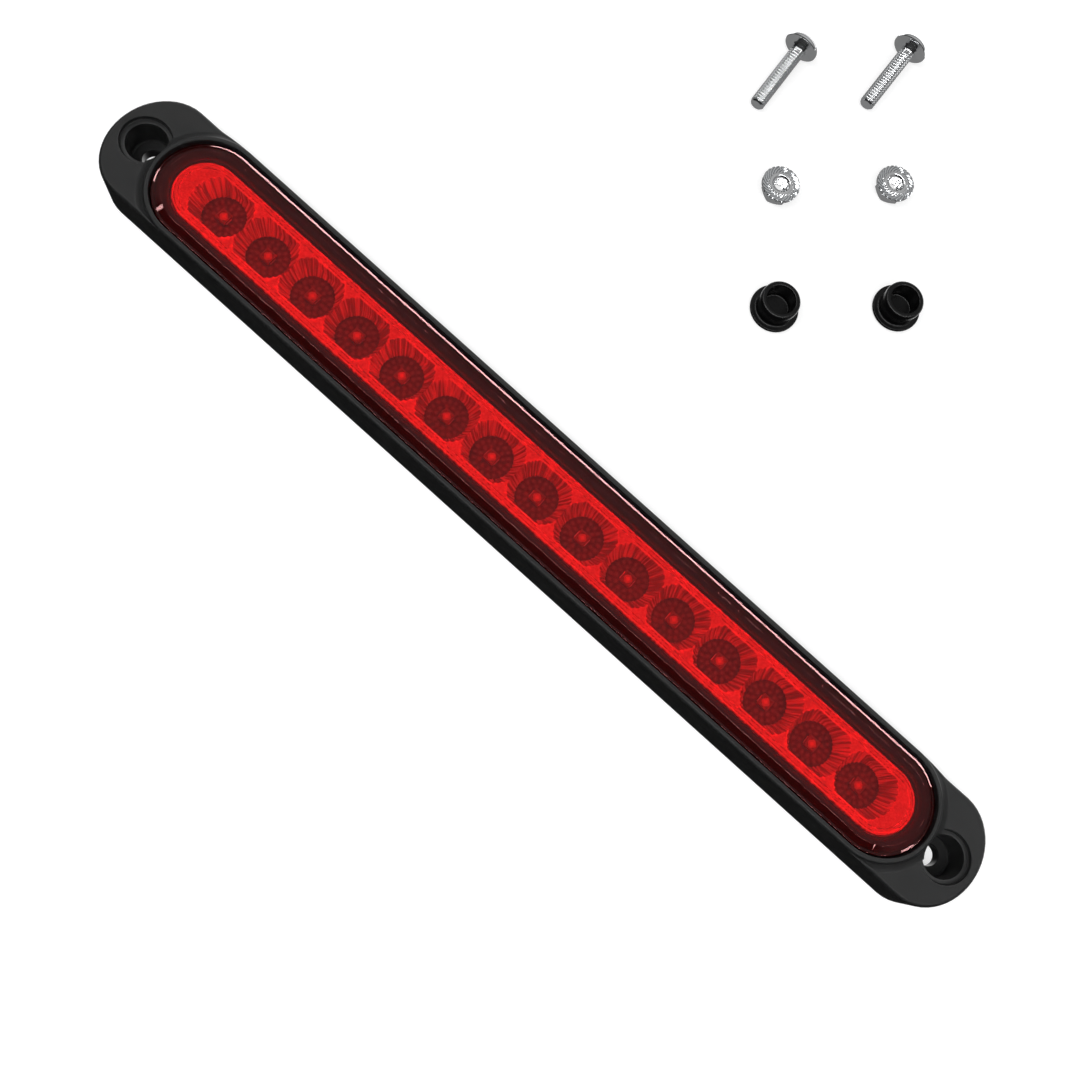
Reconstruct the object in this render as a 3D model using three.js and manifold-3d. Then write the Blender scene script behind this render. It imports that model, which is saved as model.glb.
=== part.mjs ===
// Third brake light: a slim bar with fifteen red LEDs behind one lens, and its loose fixing kit.
// Millimetres, +Z up. The lamp lies on its back: +X runs along the bar, +Z points out of the lens,
// and the origin is the centre of the back mounting face. The kit (two screws, two flange nuts
// and two rubber plugs) lies on the same level beside the lamp, on its +Y side.
import * as THREE from 'three';
import { mergeVertices } from 'three/addons/utils/BufferGeometryUtils.js';
import Module from 'manifold-3d';

const wasm = await Module();
wasm.setup();

// ---- driving dimensions ---------------------------------------------------------------------

const GAP = 0.3;                      // clearance kept between neighbouring pieces
const FAR = 40;                       // cutters run this far past the part
const END_STEPS = 9;                  // a long outline's round end has twice as many sides

const HOUSING = { length: 260, width: 28.2, earHeight: 11.6, rimHeight: 13.4, endLength: 11.8 };
const ROW = { count: 15, pitch: 14 }; // the LEDs
const CORE_HALF = 102.5;              // half the distance between the lens's two end centres
const WALL = { rimEdge: 0.8, earEdge: 1.0, collarSlope: 1.6 };

const LENS = { radius: 12.45, flatRadius: 10.1, foot: 9.9, shoulder: 11.2, top: 13.2, thickness: 1.3 };
const GROOVE = { innerRadius: 10.9, floor: 9.0 };
const SHELF = { top: 11.6, thickness: 1.5, slotRadius: 8.3 };
const CAVITY = { radius: 10, wideRadius: 12.3, wideTop: 7.5, floor: 2.2 };
const COVER = { radius: 12.7, thickness: 1.6, postRadius: 1.5, postX: [-63, -21, 21, 63] };

const BOARD = { radius: 9.4, top: 6.1, thickness: 1.2 };
const LED = { size: 3, height: 0.8, windowRadius: 1.15, windowDepth: 0.25 };
const RESISTOR = { length: 3.2, width: 1.6, height: 0.6, y: 4.2 };
const DIODE = { length: 4.4, width: 2.7, height: 2.0, x: -52, y: -4.5 };
const BOARD_SCREW = { x: 107.2, shankRadius: 1, headRadius: 1.9, headHeight: 1.4, tip: 9.6 };

const REFLECTOR = { radius: 8, top: 11.5, flangeRadius: 9.6, flangeThickness: 0.8, wall: 1 };
const CUP = { floorRadius: 4.6, rimRadius: 7.2, flatHalf: 5.8, wall: 0.9 };

const HOLE = { spacing: 243.4, radius: 2.5, boreRadius: 4.9, seat: 3, recessRadius: 6.05, recessDepth: 1.2 };
const GROMMET = { x: -30, neckRadius: 2.9, flangeRadius: 4.2, flangeHeight: 1, boreRadius: 1.6 };

const SCREW = { length: 20, radius: 2, headRadius: 4.7, headHeight: 2.5, crossWidth: 1.1, crossSpan: 5 };
const NUT = { flangeRadius: 5, flangeThickness: 1.1, acrossFlats: 7, height: 4.4, boreRadius: 1.75 };
const PLUG = { flangeRadius: 6.3, flangeHeight: 1.4, neckRadius: 4.75, beadRadius: 5.1, height: 6.6, wall: 1.1 };

// Where each loose piece lies; turn is the direction of a screw's tip, in degrees from +X.
const KIT = {
  screws: [{ x: -29, y: 130, turn: -85 }, { x: -8, y: 152, turn: -86 }],
  nuts: [{ x: -9, y: 106 }, { x: 12.5, y: 128.5 }],
  plugs: [{ x: 11, y: 80 }, { x: 34, y: 103 }],
};

// ---- materials ------------------------------------------------------------------------------

const finish = (color, roughness, metalness, extra = {}) =>
  new THREE.MeshStandardMaterial({ color, roughness, metalness, flatShading: true, ...extra });

const MATERIAL = {
  black_abs: finish(0x202021, 0.5, 0),
  red_lens: finish(0xb80d14, 0.08, 0, { transparent: true, opacity: 0.4 }),
  mirror_coat: finish(0xe6e2e0, 0.12, 1),
  board_mask: finish(0x1d3b2a, 0.45, 0),
  led_body: finish(0xe9e4d2, 0.4, 0),
  ceramic_chip: finish(0x17171a, 0.4, 0),
  zinc_steel: finish(0xc4c6c8, 0.28, 1),
  seal_rubber: finish(0x3a3a3c, 0.8, 0),
  plug_rubber: finish(0x111112, 0.6, 0),
};

// ---- solids ---------------------------------------------------------------------------------

// Turns a closed three.js geometry into a manifold solid whose faces point out.
function solidOf(geometry) {
  const bare = geometry.clone();
  for (const name of ['normal', 'uv']) {
    bare.deleteAttribute(name);
  }
  const merged = mergeVertices(bare, 1e-4);
  const position = merged.attributes.position;
  const corners = [0, 1, 2].map(() => new THREE.Vector3());
  const triangles = [];
  let volume = 0;
  for (let i = 0; i < merged.index.count; i += 3) {
    const [a, b, c] = [0, 1, 2].map((k) => merged.index.getX(i + k));
    if (a === b || b === c || c === a) {
      continue;
    }
    triangles.push([a, b, c]);
    [a, b, c].forEach((index, k) => corners[k].fromBufferAttribute(position, index));
    volume += corners[0].dot(corners[1].clone().cross(corners[2]));
  }
  const facingOut = volume > 0 ? triangles : triangles.map(([a, b, c]) => [a, c, b]);
  return new wasm.Manifold(new wasm.Mesh({
    numProp: 3,
    vertProperties: Float32Array.from(position.array),
    triVerts: Uint32Array.from(facingOut.flat()),
  }));
}

function geometryOf(solid) {
  const mesh = solid.getMesh();
  const geometry = new THREE.BufferGeometry();
  geometry.setAttribute('position', new THREE.BufferAttribute(mesh.vertProperties, 3));
  geometry.setIndex(new THREE.BufferAttribute(mesh.triVerts, 1));
  return geometry;
}

// A long outline with straight sides and elliptical ends, centred on the origin.
function oblong(straightHalf, endLength, halfWidth) {
  const shape = new THREE.Shape();
  shape.absellipse(straightHalf, 0, endLength, halfWidth, -Math.PI / 2, Math.PI / 2, false);
  shape.absellipse(-straightHalf, 0, endLength, halfWidth, Math.PI / 2, 1.5 * Math.PI, false);
  shape.closePath();
  return shape;
}

// The outline that the lens, slot, board and cavities share: round ends about the same centres.
const stadium = (radius) => oblong(CORE_HALF, radius, radius);

// An outline raised from bottom to top with plain edges.
function prism(shape, bottom, top) {
  const geometry = new THREE.ExtrudeGeometry(shape,
    { depth: top - bottom, bevelEnabled: false, curveSegments: END_STEPS });
  geometry.translate(0, 0, bottom);
  return solidOf(geometry);
}

// The same, with its top edge drawn in by edge.inset over the last edge.drop of its height.
function toppedPrism(shape, bottom, top, edge) {
  const geometry = new THREE.ExtrudeGeometry(shape, {
    depth: top - bottom,
    bevelThickness: edge.drop,
    bevelSize: edge.inset,
    bevelOffset: -edge.inset,
    bevelSegments: edge.steps,
    curveSegments: END_STEPS,
  });
  geometry.translate(0, 0, bottom - edge.drop);
  return solidOf(geometry).intersect(prism(shape, bottom, top + 1));
}

// A solid turned about a vertical axis from [radius, height] points that start and end on it.
function turned(points, segments = 24) {
  const profile = points.map(([radius, height]) => new THREE.Vector2(radius, height));
  const geometry = new THREE.LatheGeometry(profile, segments);
  geometry.rotateX(Math.PI / 2);
  return solidOf(geometry);
}

const rod = (radius, bottom, top, segments = 24) =>
  turned([[0, bottom], [radius, bottom], [radius, top], [0, top]], segments);

function box(width, depth, bottom, top, x = 0, y = 0) {
  const geometry = new THREE.BoxGeometry(width, depth, top - bottom);
  geometry.translate(x, y, (bottom + top) / 2);
  return solidOf(geometry);
}

const joined = (solids) => solids.reduce((all, one) => all.add(one));
const bothEnds = (x, make) => joined([make().translate([-x, 0, 0]), make().translate([x, 0, 0])]);
const rowX = (index) => (index - (ROW.count - 1) / 2) * ROW.pitch;

// ---- lamp -----------------------------------------------------------------------------------

function housing() {
  const { length, width, earHeight, rimHeight, endLength } = HOUSING;
  const outline = oblong(length / 2 - endLength, endLength, width / 2);
  const ears = toppedPrism(outline, 0, earHeight, { inset: WALL.earEdge, drop: WALL.earEdge, steps: 2 });

  // The collar round the lens: a short slope up from the ears, then a rounded rim.
  const collarRadius = width / 2;
  const footRadius = collarRadius + WALL.collarSlope;
  const rimStart = rimHeight - WALL.rimEdge;
  const slope = toppedPrism(stadium(footRadius), 0, rimStart,
    { inset: WALL.collarSlope, drop: rimStart - earHeight, steps: 1 });
  const rim = toppedPrism(stadium(collarRadius), 0, rimHeight,
    { inset: WALL.rimEdge, drop: WALL.rimEdge, steps: 2 });
  const collar = slope.add(rim).intersect(prism(outline, 0, rimHeight + 1));

  // The island inside the lens groove carries the shelf that frames the reflector.
  const island = toppedPrism(stadium(GROOVE.innerRadius), 0, SHELF.top, { inset: 1.8, drop: 0.9, steps: 1 });
  const groove = prism(stadium(LENS.radius + GAP), GROOVE.floor, FAR).subtract(island);
  const slot = prism(stadium(SHELF.slotRadius), CAVITY.floor, FAR);
  const innerRoom = prism(stadium(CAVITY.radius), CAVITY.floor - 1, SHELF.top - SHELF.thickness);
  const wideRoom = prism(stadium(CAVITY.wideRadius), CAVITY.floor - 1, CAVITY.wideTop);
  const coverSeat = prism(stadium(COVER.radius + GAP), -1, COVER.thickness + GAP);

  // Mounting hole in each ear: a shallow ring outside the collar, a deep bore and a screw hole.
  const ring = bothEnds(HOLE.spacing / 2, () => rod(HOLE.recessRadius, earHeight - HOLE.recessDepth, FAR, 32))
    .subtract(prism(stadium(footRadius), 0, FAR));
  const bores = bothEnds(HOLE.spacing / 2, () => rod(HOLE.boreRadius, HOLE.seat, FAR, 32));
  const screwHoles = bothEnds(HOLE.spacing / 2, () => rod(HOLE.radius, -1, HOLE.seat + 1));

  return ears.add(collar)
    .subtract(joined([groove, slot, innerRoom, wideRoom, coverSeat, ring, bores, screwHoles]));
}

function rearCover() {
  const posts = COVER.postX.map((x) => rod(COVER.postRadius, 0, BOARD.top - BOARD.thickness - GAP, 12)
    .translate([x, 0, 0]));
  const cableHole = rod(GROMMET.neckRadius + GAP, -1, COVER.thickness + 1).translate([GROMMET.x, 0, 0]);
  return joined([prism(stadium(COVER.radius), 0, COVER.thickness), ...posts]).subtract(cableHole);
}

function wireGrommet() {
  const shoulder = COVER.thickness + GAP;
  const body = turned([
    [0, 0], [GROMMET.neckRadius, 0], [GROMMET.neckRadius, shoulder], [GROMMET.flangeRadius, shoulder],
    [GROMMET.flangeRadius, shoulder + GROMMET.flangeHeight], [0, shoulder + GROMMET.flangeHeight],
  ]);
  return body.subtract(rod(GROMMET.boreRadius, -1, FAR, 16)).translate([GROMMET.x, 0, 0]);
}

function lens() {
  const bevel = { inset: LENS.radius - LENS.flatRadius, drop: LENS.top - LENS.shoulder, steps: 4 };
  const shell = toppedPrism(stadium(LENS.radius), LENS.foot, LENS.top, bevel);
  const innerTop = LENS.top - LENS.thickness;
  const hollow = toppedPrism(stadium(GROOVE.innerRadius + GAP), 0, innerTop, { inset: 1.9, drop: 1, steps: 1 });
  return shell.subtract(hollow);
}

function lensSeal() {
  const bottom = GROOVE.floor + 0.1;
  const top = LENS.foot - GAP;
  const outer = prism(stadium(LENS.radius - 0.1), bottom, top);
  return outer.subtract(prism(stadium(GROOVE.innerRadius + GAP), 0, FAR));
}

// Fifteen parabolic cups side by side, cut straight at both long sides, in one moulded strip.
function cupRow(wall, bottom, top) {
  const foot = BOARD.top + GAP;
  const rise = (REFLECTOR.top - foot) / (CUP.rimRadius ** 2 - CUP.floorRadius ** 2);
  const heights = [0, 0.5, 1].map((part) => bottom + part * (top - bottom));
  const radiusAt = (height) => Math.sqrt(CUP.floorRadius ** 2 + (height - foot) / rise) + wall;
  const profile = [[0, bottom], ...heights.map((height) => [radiusAt(height), height]), [0, top]];
  const cup = turned(profile, 16);
  const cups = Array.from({ length: ROW.count }, (_, index) => cup.translate([rowX(index), 0, 0]));
  const span = ROW.count * ROW.pitch + 4 * CUP.rimRadius;
  return joined(cups).intersect(box(span, 2 * (CUP.flatHalf + wall), bottom - 1, top + 1));
}

function reflector() {
  const foot = BOARD.top + GAP;
  const flangeTop = SHELF.top - SHELF.thickness - GAP;
  const flangeBottom = flangeTop - REFLECTOR.flangeThickness;
  const roof = REFLECTOR.top - REFLECTOR.wall;
  const field = prism(stadium(REFLECTOR.radius), flangeBottom, REFLECTOR.top);
  const flange = prism(stadium(REFLECTOR.flangeRadius), flangeBottom, flangeTop);
  const underside = prism(stadium(REFLECTOR.radius - REFLECTOR.wall), flangeBottom - 1, roof);
  const bosses = bothEnds(BOARD_SCREW.x, () => rod(BOARD_SCREW.shankRadius + 1, foot, roof + 0.5, 16));
  const pilots = bothEnds(BOARD_SCREW.x, () => rod(BOARD_SCREW.shankRadius + GAP, foot - 1, roof - 0.4, 12));
  return joined([field, flange]).subtract(underside)
    .add(cupRow(CUP.wall, foot, roof + 0.5))
    .add(bosses)
    .subtract(cupRow(0, foot - 0.05, REFLECTOR.top + 0.05))
    .subtract(pilots);
}

function circuitBoard() {
  const bottom = BOARD.top - BOARD.thickness;
  const holes = bothEnds(BOARD_SCREW.x, () => rod(BOARD_SCREW.shankRadius + GAP, bottom - 1, BOARD.top + 1, 16));
  return prism(stadium(BOARD.radius), bottom, BOARD.top).subtract(holes);
}

function boardScrew(side) {
  const seat = BOARD.top - BOARD.thickness - GAP;
  const { shankRadius, headRadius, headHeight, tip } = BOARD_SCREW;
  return turned([
    [0, seat - headHeight], [headRadius * 0.8, seat - headHeight], [headRadius, seat - 0.6 * headHeight],
    [headRadius, seat], [shankRadius, seat], [shankRadius, tip - 0.8], [0, tip],
  ], 12).translate([side * BOARD_SCREW.x, 0, 0]);
}

function led(index) {
  const bottom = BOARD.top + GAP;
  const top = bottom + LED.height;
  const window = rod(LED.windowRadius, top - LED.windowDepth, top + 1, 8);
  return box(LED.size, LED.size, bottom, top).subtract(window).translate([rowX(index), 0, 0]);
}

// Chips hang under the board, one resistor to each string of three LEDs.
function resistor(string) {
  const top = BOARD.top - BOARD.thickness - GAP;
  const x = rowX(3 * string + 1);
  return box(RESISTOR.length, RESISTOR.width, top - RESISTOR.height, top, x, RESISTOR.y);
}

function polarityDiode() {
  const top = BOARD.top - BOARD.thickness - GAP;
  return box(DIODE.length, DIODE.width, top - DIODE.height, top, DIODE.x, DIODE.y);
}

// ---- fixing kit -----------------------------------------------------------------------------

// A truss-head machine screw lying on its head's edge and its thread's tip.
function mountingScrew({ x, y, turn }) {
  const { length, radius, headRadius, headHeight, crossWidth, crossSpan } = SCREW;
  const dome = [0, 0.25, 0.5, 0.75, 1].map((part) => {
    const angle = part * Math.PI / 2;
    return [headRadius * Math.cos(angle), -0.4 - (headHeight - 0.4) * Math.sin(angle)];
  });
  const body = turned([
    [0, length], [radius - 0.5, length], [radius, length - 0.5], [radius, 0], [headRadius, 0], ...dome.slice(0, -1),
    [0, -headHeight],
  ]);
  const blade = () => box(crossWidth, crossSpan, -headHeight - 1, -headHeight + 1.3);
  const cross = blade().add(blade().rotate([0, 0, 90]));
  // Lean the axis so that the head's lowest point and the tip's lowest point share the floor.
  const lean = Math.asin((headRadius - radius) / length) * 180 / Math.PI;
  const lying = body.subtract(cross).rotate([0, 90 + lean, 0]);
  const lowest = lying.boundingBox().min[2];
  return lying.translate([-length / 2, 0, -lowest]).rotate([0, 0, turn]).translate([x, y, 0]);
}

// A flange nut standing on its hexagon, its toothed flange face up.
function flangeNut({ x, y }) {
  const { flangeRadius, flangeThickness, acrossFlats, height, boreRadius } = NUT;
  const hexagon = rod(acrossFlats / Math.sqrt(3), 0, height - flangeThickness + 0.2, 6);
  const skirt = turned([
    [0, height - flangeThickness - 1], [acrossFlats / 2, height - flangeThickness - 1],
    [flangeRadius, height - flangeThickness], [flangeRadius, height - 0.3], [flangeRadius - 0.4, height],
    [0, height],
  ], 24);
  const bore = turned([
    [0, -1], [boreRadius, -1], [boreRadius, height - 0.5], [boreRadius + 0.6, height + 0.1], [0, height + 0.1],
  ], 16);
  return hexagon.add(skirt).subtract(bore).translate([x, y, 0]);
}

// A hollow rubber plug standing on its flange, open end up, with a rounded bead at the mouth.
function holePlug({ x, y }) {
  const { flangeRadius, flangeHeight, neckRadius, beadRadius, height, wall } = PLUG;
  const innerRadius = neckRadius - wall;
  return turned([
    [0, 0], [flangeRadius - 0.5, 0], [flangeRadius, 0.4], [flangeRadius, flangeHeight - 0.3],
    [flangeRadius - 0.4, flangeHeight], [neckRadius + 0.5, flangeHeight + 0.3], [neckRadius, height - 3],
    [beadRadius, height - 1.8], [beadRadius, height - 0.9], [beadRadius - 0.6, height], [innerRadius + 0.5, height],
    [innerRadius, height - 0.8], [innerRadius, flangeHeight], [0, flangeHeight],
  ], 24).translate([x, y, 0]);
}

// ---- assembly -------------------------------------------------------------------------------

const group = new THREE.Group();

function place(name, solid, material) {
  const mesh = new THREE.Mesh(geometryOf(solid), MATERIAL[material]);
  mesh.name = name;
  group.add(mesh);
}

place('housing', housing(), 'black_abs');
place('rear_cover', rearCover(), 'black_abs');
place('wire_grommet', wireGrommet(), 'seal_rubber');
place('lens', lens(), 'red_lens');
place('lens_seal', lensSeal(), 'seal_rubber');
place('reflector', reflector(), 'mirror_coat');
place('circuit_board', circuitBoard(), 'board_mask');

for (let index = 0; index < ROW.count; index += 1) {
  place(`led_${String(index + 1).padStart(2, '0')}`, led(index), 'led_body');
}
for (let string = 0; string < ROW.count / 3; string += 1) {
  place(`resistor_${string + 1}`, resistor(string), 'ceramic_chip');
}
place('polarity_diode', polarityDiode(), 'ceramic_chip');
[-1, 1].forEach((side, index) => place(`board_screw_${index + 1}`, boardScrew(side), 'zinc_steel'));

KIT.screws.forEach((spot, index) => place(`mounting_screw_${index + 1}`, mountingScrew(spot), 'zinc_steel'));
KIT.nuts.forEach((spot, index) => place(`flange_nut_${index + 1}`, flangeNut(spot), 'zinc_steel'));
KIT.plugs.forEach((spot, index) => place(`hole_plug_${index + 1}`, holePlug(spot), 'plug_rubber'));

export default group;
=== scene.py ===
import math

import bmesh
import bpy
from mathutils import Matrix, Vector

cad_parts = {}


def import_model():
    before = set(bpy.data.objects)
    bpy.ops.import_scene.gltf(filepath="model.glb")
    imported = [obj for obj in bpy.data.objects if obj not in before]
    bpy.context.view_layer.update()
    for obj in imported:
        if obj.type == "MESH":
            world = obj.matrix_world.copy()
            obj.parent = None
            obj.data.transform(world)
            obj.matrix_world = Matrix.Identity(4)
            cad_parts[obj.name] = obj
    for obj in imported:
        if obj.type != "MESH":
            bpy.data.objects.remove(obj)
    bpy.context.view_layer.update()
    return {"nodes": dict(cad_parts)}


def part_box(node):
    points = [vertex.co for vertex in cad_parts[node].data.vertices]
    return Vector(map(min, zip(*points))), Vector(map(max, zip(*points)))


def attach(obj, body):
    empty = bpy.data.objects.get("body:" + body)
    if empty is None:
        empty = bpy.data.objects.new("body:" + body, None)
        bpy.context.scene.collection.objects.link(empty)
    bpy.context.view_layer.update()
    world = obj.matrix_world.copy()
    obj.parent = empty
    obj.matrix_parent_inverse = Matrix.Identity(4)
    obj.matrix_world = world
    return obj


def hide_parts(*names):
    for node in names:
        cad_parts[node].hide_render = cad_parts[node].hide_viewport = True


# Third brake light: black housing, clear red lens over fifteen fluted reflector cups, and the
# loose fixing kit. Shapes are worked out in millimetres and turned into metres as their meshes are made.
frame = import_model()
MM = 0.001


def box_mm(node):
    low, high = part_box(node)
    return low / MM, high / MM


def centre_mm(node):
    low, high = box_mm(node)
    return (low + high) / 2


# ---- sizes, from the frame where it has them --------------------------------------------------

HOUSING_HIGH = box_mm("housing")[1]
LENS_LOW, LENS_HIGH = box_mm("lens")
REFLECTOR_LOW, REFLECTOR_HIGH = box_mm("reflector")

HALF_LENGTH = HOUSING_HIGH.x
HALF_WIDTH = HOUSING_HIGH.y
LENS_RADIUS = LENS_HIGH.y
CORE_HALF = LENS_HIGH.x - LENS_RADIUS        # half the distance between the lens's two end centres
LED_COUNT = 15
LED_PITCH = (centre_mm("led_15").x - centre_mm("led_01").x) / (LED_COUNT - 1)

GAP = 0.3
EAR_HEIGHT = 11.6
EAR_END = 11.8                               # length of the ear's elliptical end
EAR_EDGE = 1.1                               # radius of the ear's top edge
FOOT_EDGE = 0.4                              # chamfer round the back face
COLLAR_FOOT = HALF_WIDTH + 2.0               # where the collar's slope leaves the ear
RIM_RADIUS = 0.8
RIM_TOP = HOUSING_HIGH.z
GROOVE_RADIUS = LENS_RADIUS + GAP
GROOVE_FLOOR = 9.0
ISLAND_RADIUS = 10.9
ISLAND_SLOPE = (1.8, 0.9)                    # how far in and how far up its chamfer goes
SHELF_BOTTOM = 10.1
SLOT_RADIUS = 8.3
ROOM_RADIUS = 10.0
WIDE_ROOM_RADIUS = 12.3
WIDE_ROOM_TOP = 7.5
COVER_SEAT = (13.0, 1.9)                     # radius and depth

HOLE_X = 121.7
HOLE_RADIUS = 2.5
BORE_RADIUS = 4.9
BORE_SEAT = 3.0
RING_RADIUS = 6.05
RING_DEPTH = 1.2

LENS_SHOULDER = 12.1                         # top of the lens's upright edge
LENS_FLAT = 10.1                             # radius of its flat top
LENS_SLOPE = 21                              # degrees, outside the flat top
LENS_LEDGE = (11.7, 12.15, 10)               # shallower band inside its edge: radii and degrees
LENS_THICKNESS = 1.3

CUP_FLOOR = 5.0
CUP_RIM = 7.2
CUP_FLAT_HALF = 5.8                          # the cups are cut straight at this distance
FLUTES = 32
FLUTE_DEPTH = 0.045                          # share of the radius
FLUTE_SHAPE = [(0, 0), (0.06, 0.3), (0.15, 0.66), (0.3, 0.92), (0.5, 1),
               (0.7, 0.92), (0.85, 0.66), (0.94, 0.3)]  # share of a flute's width, share of its depth
CUP_SHELL = 0.8
CUP_RISE = (REFLECTOR_HIGH.z - REFLECTOR_LOW.z) / (CUP_RIM ** 2 - CUP_FLOOR ** 2)
FIELD_RADIUS = 8.0
FIELD_FLAT = 6.3                             # the moulded edge of the field starts here
FLANGE_TOP = 9.8
LIP = 0.22                                   # rounding where the cup meets the flat field

END_STEPS = 56                               # sides of a half round end


# ---- meshes -----------------------------------------------------------------------------------

def raw_mesh(name, points, faces):
    """A mesh from points in millimetres, with doubled points merged and faces turned outward."""
    mesh = bpy.data.meshes.new(name)
    mesh.from_pydata([Vector(point) * MM for point in points], [], faces)
    work = bmesh.new()
    work.from_mesh(mesh)
    bmesh.ops.remove_doubles(work, verts=work.verts, dist=2e-7)
    bmesh.ops.dissolve_degenerate(work, edges=work.edges, dist=1e-7)
    bmesh.ops.recalc_face_normals(work, faces=work.faces)
    work.to_mesh(mesh)
    work.free()
    return mesh


def shade(mesh, angle=30):
    """Smooth shading, with edges sharper than angle left crisp."""
    mesh.polygons.foreach_set("use_smooth", [True] * len(mesh.polygons))
    mesh.set_sharp_from_angle(angle=math.radians(angle))


def piece(name, mesh, materials, body, replaced=(), angle=30):
    """A finished piece: shaded, given its materials, and riding on its body."""
    obj = bpy.data.objects.new(name, mesh)
    bpy.context.scene.collection.objects.link(obj)
    shade(mesh, angle)
    for material in materials:
        mesh.materials.append(material)
    weighted = obj.modifiers.new("even_normals", "WEIGHTED_NORMAL")
    weighted.keep_sharp = True
    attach(obj, body)
    if replaced:
        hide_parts(*replaced)
    return obj


def merged(parts):
    """Several (points, faces) lists as one."""
    points, faces = [], []
    for more_points, more_faces in parts:
        start = len(points)
        points += more_points
        faces += [[start + index for index in face] for face in more_faces]
    return points, faces


def grid(rows, wrap_rows=False, wrap_columns=True):
    """Quads over equal rows of points."""
    count = len(rows[0])
    points = [point for row in rows for point in row]
    faces = []
    for row in range(len(rows) if wrap_rows else len(rows) - 1):
        below = (row + 1) % len(rows)
        for column in range(count if wrap_columns else count - 1):
            beside = (column + 1) % count
            faces.append((row * count + column, row * count + beside,
                          below * count + beside, below * count + column))
    return points, faces


def arc(centre, radius, start, end, steps):
    """[radius, height] points along part of a circle; angles in degrees, 0 outward, 90 up."""
    angles = [math.radians(start + (end - start) * k / steps) for k in range(steps + 1)]
    return [(centre[0] + radius * math.cos(a), centre[1] + radius * math.sin(a)) for a in angles]


def end_directions():
    """The lens's outline as (end centre x, direction x, direction y), once round."""
    stations = []
    for side in (1, -1):
        for k in range(END_STEPS + 1):
            angle = math.pi * (k / END_STEPS - 0.5)
            stations.append((side * CORE_HALF, side * math.cos(angle), side * math.sin(angle)))
    return stations


def swept(profile_at, wrap=False):
    """A profile of (radius, height) points carried once round the lens's outline."""
    columns = []
    for centre_x, along, across in end_directions():
        profile = profile_at(along, across)
        columns.append([(centre_x + r * along, r * across, z) for r, z in profile])
    points = [point for column in columns for point in column]
    count = len(columns[0])
    faces = []
    for k in range(len(columns)):
        beside = (k + 1) % len(columns)
        for j in range(count if wrap else count - 1):
            above = (j + 1) % count
            faces.append((k * count + j, beside * count + j, beside * count + above, k * count + above))
    return points, faces


def turned(profile, sides, wrap=False):
    """A profile of (radius, height) points turned about the vertical axis."""
    angles = [2 * math.pi * k / sides for k in range(sides)]
    rows = [[(r * math.cos(a), r * math.sin(a), z) for a in angles] for r, z in profile]
    return grid(rows, wrap_rows=wrap)


def moved(shape, x=0.0, y=0.0, z=0.0):
    points, faces = shape
    return [(px + x, py + y, pz + z) for px, py, pz in points], faces


def cut(mesh, cutters, operation="DIFFERENCE"):
    """The mesh after exact booleans with the cutters."""
    body = bpy.data.objects.new("cut_body", mesh)
    bpy.context.scene.collection.objects.link(body)
    tools = []
    for cutter in cutters:
        tool = bpy.data.objects.new("cut_tool", cutter)
        bpy.context.scene.collection.objects.link(tool)
        boolean = body.modifiers.new("cut", "BOOLEAN")
        boolean.operation = operation
        boolean.solver = "EXACT"
        boolean.object = tool
        tools.append(tool)
    bpy.context.view_layer.update()
    graph = bpy.context.evaluated_depsgraph_get()
    result = bpy.data.meshes.new_from_object(body.evaluated_get(graph))
    for spare in [body, *tools]:
        bpy.data.objects.remove(spare)
    return result


# ---- materials --------------------------------------------------------------------------------

MIX_COLOURS = slice(6, 8)                    # where a Mix node keeps its colour sockets
MIX_COLOUR_RESULT = 2
MIX_NUMBERS = slice(2, 4)


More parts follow.
